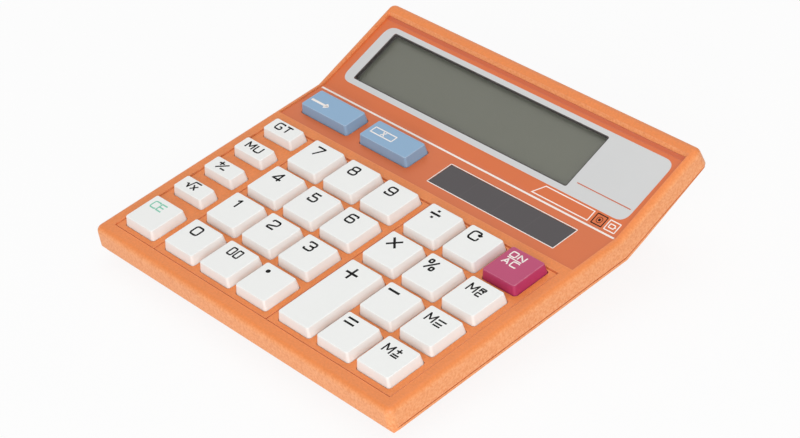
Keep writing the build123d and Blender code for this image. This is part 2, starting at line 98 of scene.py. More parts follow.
@dataclass(frozen=True)
class Layout:
    """The calculator's own slopes: the key deck and the display slope behind its bend."""

    deck_y: float
    deck_z: float
    deck_tilt: float = math.radians(6.0)
    bend_angle: float = math.radians(17.25)
    bend_v: float = 55.0
    key_top: float = 3.3

    @classmethod
    def from_frame(cls, strip: str = "solar_cell", v: float = 44.95, w: float = -0.55) -> "Layout":
        """Find the deck's origin from the solar strip, whose middle has a known place on it.

        Args:
            strip: The node that lies flat in the deck.
            v: Place of the strip's middle along the deck.
            w: Height of the strip's middle over the tray floor.

        Returns:
            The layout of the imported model.
        """
        low, high = (Vector(corner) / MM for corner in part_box(strip))
        middle = (low + high) / 2
        c, s = math.cos(cls.deck_tilt), math.sin(cls.deck_tilt)
        return cls(middle.y - v * c + w * s, middle.z - v * s - w * c)

    def on_deck(self, x: float, v: float, w: float) -> Vector:
        """Return the world point, in metres, of a place on the key deck.

        Args:
            x: Millimetres to the right of the centre line.
            v: Millimetres along the deck from the middle of the key block.
            w: Millimetres above the tray floor.

        Returns:
            The point.
        """
        c, s = math.cos(self.deck_tilt), math.sin(self.deck_tilt)
        return Vector((x, self.deck_y + v * c - w * s, self.deck_z + v * s + w * c)) * MM

    def height(self, point: Vector) -> float:
        """Return how far a world point lies above the tray floor, in millimetres."""
        c, s = math.cos(self.deck_tilt), math.sin(self.deck_tilt)
        return (point.z / MM - self.deck_z) * c - (point.y / MM - self.deck_y) * s

    def on_panel(self, x: float, s: float, w: float) -> Vector:
        """Return the world point, in metres, of a place on the display slope.

        Args:
            x: Millimetres to the right of the centre line.
            s: Millimetres up the slope from the bend.
            w: Millimetres above the panel.

        Returns:
            The point.
        """
        c, n = math.cos(self.bend_angle), math.sin(self.bend_angle)
        return self.on_deck(x, self.bend_v + s * c - w * n, s * n + w * c)

    def turn(self, direction: Sequence[float]) -> Vector:
        """Turn a direction given along the deck into the world."""
        return Matrix.Rotation(self.deck_tilt, 3, "X") @ Vector(direction)


LAYOUT = Layout.from_frame()


def add_node(tree: Tree, kind: str, inputs: Optional[dict] = None, **options: object) -> Node:
    """Place a shader node and set it up.

    Args:
        tree: The node tree.
        kind: Its type, without ShaderNode.
        inputs: Values of its inputs, by name or number.
        options: Its other settings, by name.

    Returns:
        The node.
    """
    node = tree.nodes.new(f"ShaderNode{kind}")
    for name, value in options.items():
        setattr(node, name, value)
    for socket, value in (inputs or {}).items():
        node.inputs[socket].default_value = value
    return node


def add_range(tree: Tree, source: Point = (0, 1), target: Point = (0, 1)) -> Node:
    """Place a node that moves values from one range to another."""
    labels = ("From Min", "From Max", "To Min", "To Max")
    return add_node(tree, "MapRange", dict(zip(labels, (*source, *target))))


class Effects:
    """Shader node groups that several finishes share."""

    GRAIN_SIZES: Dict[str, float] = {"Fine Scale": 2600.0, "Mottle Scale": 60.0}
    GRAIN_LAYERS: Tuple[Tuple[str, str, float], ...] = (
        ("Fine Scale", "Height", 3.0), ("Mottle Scale", "Mottle", 4.0),
    )
    # Sizes for the mask of the painted highlight along the edges.
    WEAR_SIZES: Dict[str, float] = {"Edge Width": 0.0005, "Break Scale": 700.0}
    EDGE_TURN: Point = (1.0, 0.8)
    BEVEL_SAMPLES: int = 4

    def __init__(self) -> None:
        """Build both groups once."""
        self.grain = self._grain()
        # The second group is a mask that paints highlight along the edges.
        self.wear = self._wear()

    @staticmethod
    def _group(name: str, inputs: Dict[str, float], outputs: Sequence[str]) -> Tree:
        """Return an empty group with float sockets.

        Args:
            name: The group's name.
            inputs: Socket names with their default values.
            outputs: Names of its output sockets.

        Returns:
            The node tree with its input and output nodes.
        """
        tree = bpy.data.node_groups.new(name, "ShaderNodeTree")
        for label, value in inputs.items():
            socket = tree.interface.new_socket(label, in_out="INPUT", socket_type="NodeSocketFloat")
            socket.default_value = value
        for label in outputs:
            tree.interface.new_socket(label, in_out="OUTPUT", socket_type="NodeSocketFloat")
        tree.nodes.new("NodeGroupInput").name = "in"
        tree.nodes.new("NodeGroupOutput").name = "out"
        return tree

    def _grain(self) -> Tree:
        """Build the moulded grain: a fine height and a slow mottle over the surface.

        Returns:
            The node group.
        """
        tree = self._group("moulded_grain", self.GRAIN_SIZES, ("Height", "Mottle"))
        place = add_node(tree, "TexCoord")
        for source, target, detail in self.GRAIN_LAYERS:
            noise = add_node(tree, "TexNoise", {"Detail": detail})
            tree.links.new(place.outputs["Object"], noise.inputs["Vector"])
            tree.links.new(tree.nodes["in"].outputs[source], noise.inputs["Scale"])
            tree.links.new(noise.outputs["Fac"], tree.nodes["out"].inputs[target])
        return tree

    def _wear(self) -> Tree:
        """Build the painted edge highlight: a mask that follows the edges, broken up by noise.

        Returns:
            The node group.
        """
        tree = self._group("painted_edge_highlight", self.WEAR_SIZES, ("Mask",))
        bevel = add_node(tree, "Bevel", samples=self.BEVEL_SAMPLES)
        flat = add_node(tree, "NewGeometry")
        dot = add_node(tree, "VectorMath", operation="DOT_PRODUCT")
        edge = add_range(tree, self.EDGE_TURN)
        place = add_node(tree, "TexCoord")
        noise = add_node(tree, "TexNoise")
        times = add_node(tree, "Math", operation="MULTIPLY")
        link = tree.links.new
        link(tree.nodes["in"].outputs["Edge Width"], bevel.inputs["Radius"])
        link(bevel.outputs["Normal"], dot.inputs[0])
        link(flat.outputs["Normal"], dot.inputs[1])
        link(dot.outputs["Value"], edge.inputs["Value"])
        link(place.outputs["Object"], noise.inputs["Vector"])
        link(tree.nodes["in"].outputs["Break Scale"], noise.inputs["Scale"])
        link(edge.outputs["Result"], times.inputs[0])
        link(noise.outputs["Fac"], times.inputs[1])
        link(times.outputs["Value"], tree.nodes["out"].inputs["Mask"])
        return tree


EFFECTS = Effects()


class Sheen(Enum):
    """How a surface takes the light: roughness, coat weight and coat roughness."""

    MATT = (0.7, 0.0, 0.3)
    SATIN = (0.45, 0.0, 0.3)
    SILK = (0.38, 0.1, 0.25)
    GLOSS = (0.42, 0.2, 0.12)
    METAL = (0.28, 0.0, 0.1)


@dataclass(frozen=True)
class Finish:
    """A surface finish with moulded grain, slow mottle and a painted highlight on its edges.

    The mottle moves the colour by a share of itself, and the edges are painted a little paler as a
    highlight. Speckle follows the fine grain. Lengths are in metres, scales in waves per metre.
    """

    name: str
    colour: Colour
    sheen: Sheen = Sheen.SATIN
    fine_scale: float = 2600.0
    bump: float = 0.12
    bump_depth: float = 0.00004
    mottle: float = 0.06
    mottle_scale: float = 60.0
    # Share by which the painted highlight lightens the edges.
    edge: float = 0.25
    metallic: float = 0.0
    alpha: float = 1.0
    speckle: float = 0.0
    speckle_range: Point = (0.3, 0.7)
    rough_spread: float = 0.08
    specular: float = 0.5

    def shades(self) -> Tuple[Colour, Colour, Colour]:
        """Work out the shades that the surface varies between.

        Returns:
            The darker, lighter and painted edge highlight colours.
        """
        dark = tuple(c * (1 - self.mottle) for c in self.colour)
        light = tuple(min(1.0, c * (1 + self.mottle)) for c in self.colour)
        # Paler colour of the painted highlight on the edges.
        edge_highlight_colour = tuple(c + (1 - c) * self.edge for c in self.colour)
        return dark, light, edge_highlight_colour

    @staticmethod
    def mix(tree: Tree, low: Colour, high: Colour) -> Node:
        """Return a new mix node from one colour at factor 0 to another at factor 1."""
        colours = {MIX_LOW: (*low, 1), MIX_HIGH: (*high, 1)}
        return add_node(tree, "Mix", colours, data_type="RGBA")

    def base_colour(self, tree: Tree, grain: Node) -> Socket:
        """Return the socket of the finish's own colour, before the painted edge highlight.

        Args:
            tree: The node tree.
            grain: The grain group.

        Returns:
            A colour socket.
        """
        dark, light, _ = self.shades()
        tone = self.mix(tree, dark, light)
        tree.links.new(grain.outputs["Mottle"], tone.inputs[MIX_FACTOR])
        if not self.speckle:
            return tone.outputs[MIX_RESULT]
        level = add_range(tree, self.speckle_range, (1 - self.speckle, 1 + self.speckle))
        dots = add_node(tree, "VectorMath", operation="SCALE")
        tree.links.new(grain.outputs["Height"], level.inputs["Value"])
        tree.links.new(tone.outputs[MIX_RESULT], dots.inputs[0])
        tree.links.new(level.outputs["Result"], dots.inputs["Scale"])
        return dots.outputs["Vector"]

    def build(self) -> bpy.types.Material:
        """Build the material on first use.

        Returns:
            The material.
        """
        made = bpy.data.materials.get(self.name)
        if made:
            return made
        material = bpy.data.materials.new(self.name)
        material.use_nodes = True
        tree = material.node_tree
        link = tree.links.new
        shader = tree.nodes["Principled BSDF"]
        rough, coat, coat_rough = self.sheen.value
        levels = {"Metallic": self.metallic, "Coat Weight": coat, "Coat Roughness": coat_rough,
                  "Alpha": self.alpha, "Specular IOR Level": self.specular}
        for socket, value in levels.items():
            shader.inputs[socket].default_value = value
        scales = {"Fine Scale": self.fine_scale, "Mottle Scale": self.mottle_scale}
        grain = add_node(tree, "Group", scales, node_tree=EFFECTS.grain)
        # Painted highlight: the edge mask mixes the colour towards a paler one.
        wear = add_node(tree, "Group", node_tree=EFFECTS.wear)
        _, _, edge_highlight_colour = self.shades()
        highlighted = self.mix(tree, self.colour, edge_highlight_colour)
        link(wear.outputs["Mask"], highlighted.inputs[MIX_FACTOR])
        link(self.base_colour(tree, grain), highlighted.inputs[MIX_LOW])
        link(highlighted.outputs[MIX_RESULT], shader.inputs["Base Color"])
        spread = add_range(tree, target=(rough - self.rough_spread, rough + self.rough_spread))
        link(grain.outputs["Mottle"], spread.inputs["Value"])
        link(spread.outputs["Result"], shader.inputs["Roughness"])
        bump = add_node(tree, "Bump", {"Strength": self.bump, "Distance": self.bump_depth})
        link(grain.outputs["Height"], bump.inputs["Height"])
        link(bump.outputs["Normal"], shader.inputs["Normal"])
        return material


@dataclass(frozen=True)
class ShellFinish(Finish):
    """Case plastic with a painted highlight: a coarser, paler grain on its upright walls."""

    # Colour of the painted highlight on the upright walls, and how far it reaches.
    wall_colour: Colour = srgb(250, 186, 134)
    flat_level: float = 0.85
    wall_level: float = 0.3
    grain_range: Point = (0.35, 0.65)
    paler_share: Point = (0.2, 0.6)

    def base_colour(self, tree: Tree, grain: Node) -> Socket:
        """Return the plastic's colour, painted paler as highlight where the surface stands upright.

        Args:
            tree: The node tree.
            grain: The grain group.

        Returns:
            A colour socket.
        """
        link = tree.links.new
        facing = add_node(tree, "NewGeometry")
        split = add_node(tree, "SeparateXYZ")
        level = add_node(tree, "Math", operation="ABSOLUTE")
        wall = add_range(tree, (self.flat_level, self.wall_level))
        dots = add_range(tree, self.grain_range, self.paler_share)
        share = add_node(tree, "Math", operation="MULTIPLY")
        # Painted highlight: upright walls mix towards the paler wall colour, in specks that follow
        # the grain.
        paler = self.mix(tree, self.colour, self.wall_colour)
        link(facing.outputs["Normal"], split.inputs["Vector"])
        link(split.outputs["Z"], level.inputs[0])
        link(level.outputs["Value"], wall.inputs["Value"])
        link(grain.outputs["Height"], dots.inputs["Value"])
        link(wall.outputs["Result"], share.inputs[0])
        link(dots.outputs["Result"], share.inputs[1])
        link(share.outputs["Value"], paler.inputs[MIX_FACTOR])
        link(super().base_colour(tree, grain), paler.inputs[MIX_LOW])
        return paler.outputs[MIX_RESULT]


@dataclass(frozen=True)
class SolarFinish(Finish):
    """Dark solar film, divided into cells by fine pale lines across the strip."""

    span: Point = SOLAR_X
    cells: int = 4
    half_cell: float = 0.5
    line: float = 0.004
    line_colour: Colour = srgb(53, 46, 49)

    def base_colour(self, tree: Tree, grain: Node) -> Socket:
        """Return the film's colour with the cell lines in it.

        Args:
            tree: The node tree.
            grain: The grain group.

        Returns:
            A colour socket.
        """
        link = tree.links.new
        place = add_node(tree, "TexCoord")
        split = add_node(tree, "SeparateXYZ")
        along = add_range(tree, (self.span[0] * MM, self.span[1] * MM), (0, self.cells))
        along.clamp = False
        part = add_node(tree, "Math", {1: self.half_cell}, operation="PINGPONG")
        near = add_node(tree, "Math", {1: self.line * self.cells}, operation="LESS_THAN")
        lines = self.mix(tree, self.colour, self.line_colour)
        link(place.outputs["Object"], split.inputs["Vector"])
        link(split.outputs["X"], along.inputs["Value"])
        link(along.outputs["Result"], part.inputs[0])
        link(part.outputs["Value"], near.inputs[0])
        link(near.outputs["Value"], lines.inputs[MIX_FACTOR])
        link(super().base_colour(tree, grain), lines.inputs[MIX_LOW])
        return lines.outputs[MIX_RESULT]


CASE_ORANGE = ShellFinish("case_orange", srgb(229, 132, 66), fine_scale=1500, bump=0.8,
                          bump_depth=0.00009, edge=0.1, speckle=0.06)
PANEL_ORANGE = Finish("panel_orange", srgb(212, 106, 52), Sheen.GLOSS, bump=0.03, mottle=0.03,
                      edge=0.08, specular=0.4)
KEY_WHITE = Finish("key_white", srgb(241, 242, 240), Sheen.SILK, fine_scale=1800, bump=0.1,
                   mottle=0.015, edge=0.0, specular=0.25)
KEY_BLUE = Finish("key_blue", srgb(134, 170, 202), Sheen.SILK, bump=0.08, mottle=0.03, edge=0.5)
KEY_MAGENTA = Finish("key_magenta", srgb(180, 48, 100), Sheen.GLOSS, bump=0.05, mottle=0.04,
                     edge=0.4)
SILVER_PRINT = Finish("silver_print", srgb(202, 203, 203), Sheen.SILK, bump=0.05, mottle=0.02,
                      edge=0.1, metallic=0.1)
WHITE_PRINT = Finish("white_print", srgb(244, 236, 230), Sheen.SATIN, bump=0.05, mottle=0.02)
BLACK_PRINT = Finish("black_print", srgb(18, 17, 17), Sheen.MATT, bump=0.05, mottle=0.15,
                     edge=0.0, specular=0.15)
GREEN_PRINT = Finish("green_print", srgb(118, 200, 172), Sheen.SATIN, bump=0.05, mottle=0.04)
# Orange print, which also paints the shade along the panel's rim.
ORANGE_PRINT_AND_SHADE = Finish("orange_print_and_shade", srgb(196, 92, 48), Sheen.SATIN, bump=0.05, mottle=0.04)
WINDOW_CLEAR = Finish("window_clear", srgb(235, 240, 236), Sheen.GLOSS, bump=0.0, mottle=0.01,
                      edge=0.0, alpha=0.02)
LCD_GREY = Finish("lcd_grey_green", srgb(90, 91, 78), Sheen.GLOSS, bump=0.02, mottle=0.03,
                  mottle_scale=18, edge=0.0)
SOLAR_FILM = SolarFinish("solar_film", srgb(48, 41, 44), Sheen.GLOSS, bump=0.02, mottle=0.12,
                         edge=0.0)
FOAM_DARK = Finish("foam_dark", srgb(48, 38, 36), Sheen.MATT, fine_scale=3500, bump=0.5,
                   mottle=0.2, specular=0.15)
PLASTIC_BLACK = Finish("plastic_black", srgb(34, 33, 34), Sheen.SATIN, mottle=0.12)
RUBBER_BLACK = Finish("rubber_black", srgb(38, 37, 37), Sheen.MATT, fine_scale=1800, bump=0.4,
                      mottle=0.15)
RUBBER_GREY = Finish("rubber_grey", srgb(196, 196, 192), Sheen.MATT, bump=0.2, mottle=0.05)
BOARD_GREEN = Finish("board_green", srgb(44, 112, 66), Sheen.SILK, bump=0.1, mottle=0.1)
CABLE_AMBER = Finish("cable_amber", srgb(176, 118, 50), Sheen.SILK, mottle=0.1)
WIRE_RED = Finish("wire_red", srgb(168, 40, 38), Sheen.SATIN, mottle=0.08)
STEEL = Finish("plated_steel", srgb(196, 196, 192), Sheen.METAL, fine_scale=4200, bump=0.15,
               mottle=0.08, metallic=1.0)
CELL_GREY = Finish("cell_sleeve", srgb(92, 96, 104), Sheen.SILK, mottle=0.06, metallic=0.4)


def dress_node(name: str, finish: Finish) -> None:
    """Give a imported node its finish.

    Args:
        name: The node.
        finish: The finish it gets.
    """
    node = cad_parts[name]
    material = finish.build()
    for place in node.material_slots:
        place.material = material
    log.info("%s dressed in %s", name, finish.name)


def rounded_line(points: Sequence[Point], radius: float, closed: bool = False,
                 steps: int = 6) -> Loop:
    """Round the corners of a line with arcs.

    Args:
        points: Corners of the line.
        radius: Radius wanted at each corner; short runs make it smaller.
        closed: Whether the line returns to its start.
        steps: Parts of each arc.

    Returns:
        Points along the rounded line.
    """
    result: Loop = []
    count = len(points)
    for i, (px, py) in enumerate(points):
        if not closed and i in (0, count - 1):
            result.append((px, py))
            continue
        here = Vector((px, py))
        before = Vector(points[i - 1]) - here
        after = Vector(points[(i + 1) % count]) - here
        half = before.angle(after) / 2
        reach = 0.0
        if half < STRAIGHT_HALF:
            reach = min(radius / math.tan(half), before.length / 2, after.length / 2)
        if reach < LEAST_ROUND:
            result.append((px, py))
            continue
        start, end = here + before.normalized() * reach, here + after.normalized() * reach
        for k in range(steps + 1):
            t = k / steps
            spot = start * (1 - t) ** 2 + here * 2 * t * (1 - t) + end * t ** 2
            result.append((spot.x, spot.y))
    return result


def rounded_box(x: Point, y: Point, radius: float, steps: int = 6) -> Loop:
    """Return a closed rectangle with rounded corners from its x and y ranges."""
    corners = [(x[0], y[0]), (x[1], y[0]), (x[1], y[1]), (x[0], y[1])]
    return rounded_line(corners, radius, closed=True, steps=steps)


def grown(span: Point, reach: float) -> Point:
    """Return a range that reaches further at both ends."""
    return span[0] - reach, span[1] + reach


class Relief:
    """A thin raised shape, gathered from ribbons, rings and plates on one surface."""

    def __init__(self, name: str, place: Place, base: float, rise: float) -> None:
        """Start an empty shape.

        Args:
            name: Name of the piece.
            place: Turns x, y and height on the surface into a world point.
            base: Height of the surface.
            rise: Height of the shape above it.
        """
        self.name, self.place, self.base, self.rise = name, place, base, rise
        self.mesh = bmesh.new()

    def _pair(self, point: Point, crown: Optional[Point] = None) -> Tuple[Vert, Vert]:
        """Add the two vertices that stand on one point.

        Args:
            point: The point on the surface.
            crown: Where the upper vertex stands, if not over the point.

        Returns:
            The lower and the upper vertex.
        """
        low = self.mesh.verts.new(self.place(*point, self.base))
        high = self.mesh.verts.new(self.place(*(crown or point), self.base + self.rise))
        return low, high

    def band(self, left: Loop, right: Loop, closed: bool) -> None:
        """Add the raised band between two lines of the same count.

        Args:
            left: Points of one side.
            right: Points of the other side.
            closed: Whether the band returns to its start.
        """
        rings = [(*self._pair(a), *self._pair(b)) for a, b in zip(left, right)]
        pairs = list(zip(rings, rings[1:]))
        if closed:
            pairs.append((rings[-1], rings[0]))
        for (a0, a1, b0, b1), (c0, c1, d0, d1) in pairs:
            for face in ((a1, b1, d1, c1), (a0, a1, c1, c0), (b1, b0, d0, d1), (b0, a0, c0, d0)):
                self.mesh.faces.new(face)
        if not closed:
            for a0, a1, b0, b1 in (rings[0], rings[-1]):
                self.mesh.faces.new((a0, b0, b1, a1))

    def ribbon(self, line: Loop, width: float, closed: bool = False) -> None:
        """Add a stroke of even width along a line.

        Args:
            line: Points along the middle of the stroke.
            width: Its width.
            closed: Whether it returns to its start.
        """
        left: Loop = []
        right: Loop = []
        count = len(line)
        for i, point in enumerate(line):
            here = Vector(point)
            back = here - Vector(line[i - 1]) if closed or i else None
            ahead = Vector(line[(i + 1) % count]) - here if closed or i < count - 1 else None
            known = [run for run in (back, ahead) if run is not None]
            runs = [run.normalized() for run in known if run.length > LEAST_RUN]
            along = sum(runs, Vector((0, 0))).normalized()
            side = Vector((-along.y, along.x))
            stretch = 1 / max(LEAST_MITRE, abs(along.dot(runs[0])))
            offset = side * width / 2 * stretch
            left.append(tuple(here + offset))
            right.append(tuple(here - offset))
        self.band(left, right, closed)

    def plate(self, outline: Loop, crown: Optional[Loop] = None) -> None:
        """Add a filled raised plate.

        Args:
            outline: Its closed outline at the foot.
            crown: Its outline at the top, where that differs.
        """
        pairs = [self._pair(*points) for points in zip(outline, crown or outline)]
        self.mesh.faces.new([high for _, high in pairs])
        self.mesh.faces.new([low for low, _ in reversed(pairs)])
        for (a0, a1), (b0, b1) in zip(pairs, pairs[1:] + pairs[:1]):
            self.mesh.faces.new((a0, b0, b1, a1))

    def finish(self, finish: Finish, body: str) -> bpy.types.Object:
        """Make the object, dress it and let it ride on a body.

        Args:
            finish: Its finish.
            body: The body it moves with.

        Returns:
            The object.
        """
        bmesh.ops.recalc_face_normals(self.mesh, faces=self.mesh.faces)
        data = bpy.data.meshes.new(self.name)
        self.mesh.to_mesh(data)
        self.mesh.free()
        piece = bpy.data.objects.new(self.name, data)
        bpy.context.scene.collection.objects.link(piece)
        data.materials.append(finish.build())
        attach(piece, body)
        log.info("%s rides on %s", self.name, body)
        return piece


@dataclass(frozen=True)
class Glyph:
    """A sign drawn as strokes in a square, with round or sharp corners and its own width.

    The path gives each stroke's points in hundredths of the square, with a bar between strokes.
    Loops are the strokes that return to their start, and sharp ones are not rounded.
    """

    path: str
    width: float = 1.0
    corner: float = 0.26
    loops: Tuple[int, ...] = ()
    sharp: Tuple[int, ...] = ()

    def strokes(self) -> List[Loop]:
        """Return the points of every stroke as shares of the square."""
        paths = [[spot.split(",") for spot in run.split()] for run in self.path.split("|")]
        return [[(int(x) / PATH_SQUARE, int(y) / PATH_SQUARE) for x, y in run] for run in paths]


class StrokeFont:
    """Plain squarish signs for the key tops.

    o is one zero of the double zero; p, n and c follow M on the memory keys; s changes the sign;
    r is the root, : the division, > an arrow, [ a framed cross and @ a turning arrow.
    """

    SIGNS: Dict[str, Glyph] = {
        "0": Glyph("0,0 100,0 100,100 0,100", loops=(0,)),
        "1": Glyph("12,76 50,100 50,0", 0.6, 0.02),
        "2": Glyph("0,76 0,100 100,100 100,54 0,22 0,0 100,0"),
        "3": Glyph("0,80 0,100 100,100 100,53 30,53 | 30,53 100,53 100,0 0,0 0,20"),
        "4": Glyph("74,0 74,102 -10,24 108,24", corner=0.02),
        "5": Glyph("94,100 10,100 4,57 | 4,57 100,57 100,0 0,0 0,26", sharp=(0,)),
        "6": Glyph("100,80 100,100 0,100 0,0 100,0 100,56 0,56"),
        "7": Glyph("-8,100 108,100 30,-8", corner=0.04),
        "8": Glyph("6,53 94,53 94,100 6,100 | 0,0 100,0 100,53 0,53", loops=(0, 1)),
        "9": Glyph("0,20 0,0 100,0 100,100 0,100 0,44 100,44"),
        "A": Glyph("0,0 50,100 100,0 | 20,36 80,36", corner=0.02),
        "C": Glyph("100,86 100,100 0,100 0,0 100,0 100,14"),
        "E": Glyph("100,100 0,100 0,0 100,0 | 0,52 90,52", corner=0.02),
        "G": Glyph("100,84 100,100 0,100 0,0 100,0 100,46 55,46"),
        "M": Glyph("0,0 0,100 55,30 110,100 110,0", 1.1, 0.02),
        "N": Glyph("0,0 0,100 100,0 100,100", corner=0.02),
        "O": Glyph("0,0 100,0 100,100 0,100", loops=(0,)),
        "T": Glyph("0,100 100,100 | 50,100 50,0"),
        "U": Glyph("0,100 0,0 100,0 100,100"),
        "o": Glyph("0,0 100,0 100,100 0,100", corner=0.14, loops=(0,)),
        "p": Glyph("50,46 50,106 | 10,76 90,76 | 0,24 100,24 | 0,0 100,0"),
        "n": Glyph("0,72 125,72 | 0,30 105,30 | 0,0 105,0"),
        "c": Glyph("10,50 10,94 76,94 76,72 10,72 | 40,72 76,50 | 76,32 10,32 10,-6 76,-6",
                   corner=0.06),
        "s": Glyph("0,74 56,74 | 28,46 28,102 | 12,0 98,90 | 60,10 110,10", 1.1),
        "r": Glyph("-10,42 12,50 34,2 62,100 150,100", 0.4, 0.02),
        "x": Glyph("0,0 62,62 | 0,62 62,0", 0.62),
        "+": Glyph("50,2 50,98 | 2,50 98,50"),
        "-": Glyph("0,50 100,50"),
        "*": Glyph("6,6 94,94 | 6,94 94,6"),
        "=": Glyph("0,24 100,24 | 0,76 100,76"),
        ":": Glyph("0,50 100,50 | 38,90 62,90 | 38,10 62,10"),
        "%": Glyph("10,0 90,100 | 0,66 34,66 34,100 0,100 | 66,0 100,0 100,34 66,34",
                   corner=0.12, loops=(1, 2)),
        ".": Glyph("38,40 62,40 62,60 38,60", corner=0.1, loops=(0,)),
        ">": Glyph("0,50 90,50 | 84,90 100,50 84,10", corner=0.02),
        "[": Glyph("0,0 100,0 100,100 0,100 | 43,15 57,85 | 43,85 57,15", corner=0.02, loops=(0,)),
        "@": Glyph("86,62 86,100 0,100 0,0 100,0 100,40 | 66,78 86,56 108,78", 1.1, 0.34),
    }

    @classmethod
    def write(cls, relief: Relief, words: str, start: Point, size: Point, stroke: float,
              gap: float) -> None:
        """Draw a line of signs.

        Args:
            relief: The shape that takes the strokes.
            words: The signs to draw.
            start: Lower left corner of the line.
            size: Width and height of a full sign.
            stroke: Width of a stroke.
            gap: Space between signs, as a share of a sign's width.
        """
        x = start[0]
        for sign in words:
            glyph = cls.SIGNS[sign]
            for i, path in enumerate(glyph.strokes()):
                closed = i in glyph.loops
                line = [(x + a * size[0], start[1] + b * size[1]) for a, b in path]
                corner = 0.0 if i in glyph.sharp else glyph.corner * size[1]
                line = rounded_line(line, corner, closed)
                relief.ribbon(line, stroke, closed)
            x += (glyph.width + gap) * size[0]


@dataclass
class Legend:
    """What is printed on one key: lines of signs with an offset, a sign size and an ink.

    A space parts the lines. A rule runs between them, a share of their stroke wide.
    """

    words: str
    ink: Finish = BLACK_PRINT
    size: Point = (3.0, 3.5)
    offset: Point = (-3.05, 0.75)
    stroke: float = 0.65
    line_gap: float = 0.7
    gap: float = 0.42
    rule: float = 0.0
    rule_share: float = 0.8


@dataclass
class Keypad:
    """The keys with their caps and printed legends, placed in millimetres on the deck."""

    first_row: float = -24.51
    row_pitch: float = 16.34
    columns: Tuple[float, ...] = (-34.0, -17.0, 0.0, 19.5, 36.5, 53.5)
    plus_column: int = 3
    left_column: float = -53.5
    small_first: float = -8.86
    small_pitch: float = 12.26
    bar_places: Tuple[float, ...] = (-49.2, -21.2)
    bar_row: float = 45.19
    ink_rise: float = 0.03
    rows: Tuple[Tuple[Optional[str], ...], ...] = (
        ("key_0", "key_00", "key_dot", None, "key_equals", "key_m_plus"),
        ("key_1", "key_2", "key_3", None, "key_minus", "key_m_minus"),
        ("key_4", "key_5", "key_6", "key_times", "key_percent", "key_m_recall"),
        ("key_7", "key_8", "key_9", "key_divide", "key_replay", "key_on"),
    )
    legends: Dict[str, Legend] = field(default_factory=dict)

    def __post_init__(self) -> None:
        """Fill in the legends of all keys."""
        for digit in range(10):
            self.legends[f"key_{digit}"] = Legend(str(digit))
        small = dict(size=(2.6, 2.8), offset=(-3.6, -0.9), stroke=0.58)
        two = dict(size=(2.6, 3.3), offset=(-3.9, 0.75), stroke=0.54, gap=0.34)
        self.legends.update({
            "key_00": Legend("oo", size=(1.8, 3.2), offset=(-3.05, 1.35), stroke=0.56, gap=0.55),
            "key_dot": Legend(".", size=(3.0, 3.4), offset=(-4.55, 1.8), stroke=0.8),
            "key_plus": Legend("+", size=(5.0, 5.1), offset=(-4.0, 7.2), stroke=0.8),
            "key_minus": Legend("-", size=(4.5, 3.4), offset=(-4.85, 2.05), stroke=0.8),
            "key_times": Legend("*", size=(4.3, 4.0), offset=(-4.05, 0.55), stroke=0.76),
            "key_divide": Legend(":", size=(4.0, 4.0), offset=(-4.0, 0.9), stroke=0.8),
            "key_equals": Legend("=", size=(4.1, 3.6), offset=(-4.7, 1.76), stroke=0.7),
            "key_percent": Legend("%", size=(3.75, 4.0), offset=(-4.4, 0.2), stroke=0.68),
            "key_m_plus": Legend("Mp", **two),
            "key_m_minus": Legend("Mn", **two),
            "key_m_recall": Legend("Mc", **two),
            "key_replay": Legend("@", size=(3.6, 3.6), offset=(-3.8, 1.2)),
            "key_on": Legend("ON AC", WHITE_PRINT, (2.3, 2.1), (-4.6, 2.7), 0.46, 1.2, rule=5.6),
            "key_ce": Legend("CE", GREEN_PRINT, (2.35, 2.9), (-4.3, 1.4), 0.5, gap=0.3),
            "key_sqrt": Legend("rx", size=(3.1, 3.3), offset=(-3.4, -1.05), stroke=0.54),
            "key_sign": Legend("s", size=(4.1, 3.3), offset=(-3.5, -1.2), stroke=0.58),
            "key_mu": Legend("MU", **small),
            "key_gt": Legend("GT", **small),
            "key_check": Legend(">", WHITE_PRINT, (7.6, 2.2), (-9.5, -1.8), 0.85),
            "key_correct": Legend("[", WHITE_PRINT, (9.6, 2.6), (-8.8, -1.2), 0.42),
        })

    def places(self) -> Dict[str, Point]:
        """Work out where the keys are.

        Returns:
            The centre of every key on the deck.
        """
        found: Dict[str, Point] = {}
        for r, row in enumerate(self.rows):
            for name, x in zip(row, self.columns):
                if name:
                    found[name] = (x, self.first_row + r * self.row_pitch)
        found["key_plus"] = (self.columns[self.plus_column], self.first_row + self.row_pitch / 2)
        found["key_ce"] = (self.left_column, self.first_row)
        for i, name in enumerate(("key_sqrt", "key_sign", "key_mu", "key_gt")):
            found[name] = (self.left_column, self.small_first + i * self.small_pitch)
        for name, x in zip(("key_check", "key_correct"), self.bar_places):
            found[name] = (x, self.bar_row)
        return found

    def dress(self) -> None:
        """Give every cap its plastic and print its legend."""
        caps = {"key_on": KEY_MAGENTA, "key_check": KEY_BLUE, "key_correct": KEY_BLUE}
        for name, (x, v) in self.places().items():
            dress_node(name, caps.get(name, KEY_WHITE))
            self.print_legend(name, (x, v))

    def print_legend(self, name: str, centre: Point) -> None:
        """Print one key's legend.

        Args:
            name: The key.
            centre: The middle of its top on the deck.
        """
        legend = self.legends[name]
        relief = Relief(f"{name}_legend", LAYOUT.on_deck, LAYOUT.key_top, self.ink_rise)
        x = centre[0] + legend.offset[0]
        y = centre[1] + legend.offset[1]
        for i, words in enumerate(legend.words.split()):
            drop = i * (legend.size[1] + legend.line_gap)
            StrokeFont.write(relief, words, (x, y - drop), legend.size, legend.stroke, legend.gap)
        if legend.rule:
            level = y - legend.line_gap / 2
            width = legend.stroke * legend.rule_share
            relief.ribbon([(x, level), (x + legend.rule, level)], width)
        relief.finish(legend.ink, name)


